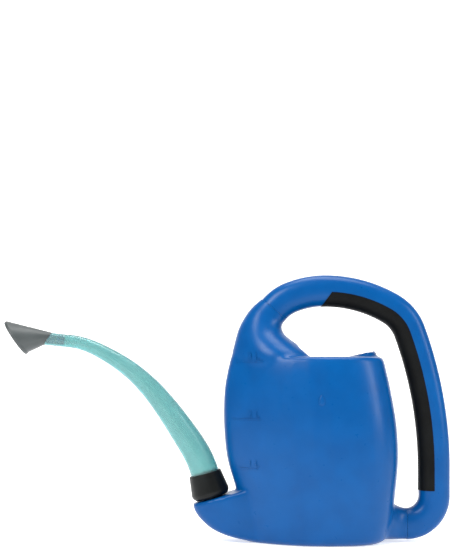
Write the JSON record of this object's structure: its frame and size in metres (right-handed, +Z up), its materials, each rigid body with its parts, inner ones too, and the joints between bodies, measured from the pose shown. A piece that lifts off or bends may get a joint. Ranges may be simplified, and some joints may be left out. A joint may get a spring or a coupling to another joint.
{
  "type": "watering can",
  "caption": "Watering can with a tapering reservoir, a looped handle with a soft grip, a swivelling curved spout that stows against the body, and a pull-off rose.",
  "frame": {"origin": "centre of the foot, on the surface that the can stands on", "axes": "+Z up, -X towards the spout, +X towards the handle, y = 0 is the plane of symmetry at rest"},
  "size_m": [0.4715, 0.1252, 0.2813],
  "materials": {
    "body_plastic": "satin moulded",
    "grip_rubber": "fine matte grain",
    "collar_plastic": "matte moulded",
    "spout_plastic": "translucent frosted",
    "rose_plastic": "matte moulded",
    "seal_rubber": "smooth",
    "clip_steel": "spring steel"
  },
  "bodies": {
    "body": {"body_shell": "body_plastic", "handle_tube": "body_plastic", "soft_grip": "grip_rubber", "upper_handle_joiner": "body_plastic", "lower_handle_joiner": "body_plastic", "outlet_neck": "body_plastic", "neck_gasket": "seal_rubber", "swivel_seal": "seal_rubber", "retaining_clip": "clip_steel"},
    "spout": {"swivel_collar": "collar_plastic", "spout_tube": "spout_plastic"},
    "rose": {"rose_cone": "rose_plastic", "rose_face": "rose_plastic", "rose_plug": "body_plastic", "plug_seal": "seal_rubber"}
  },
  "joints": [
    {"name": "spout_swivel", "type": "hinge", "parent": "body", "child": "spout", "pos_m": [-0.104, 0, 0.0458], "axis": [-0.274, 0, 0.9617], "range_deg": [-180, 180]},
    {"name": "rose_pull", "type": "slide", "parent": "spout", "child": "rose", "axis": [-0.9945, 0, 0.1045], "range_m": [0, 0.04]}
  ]
}
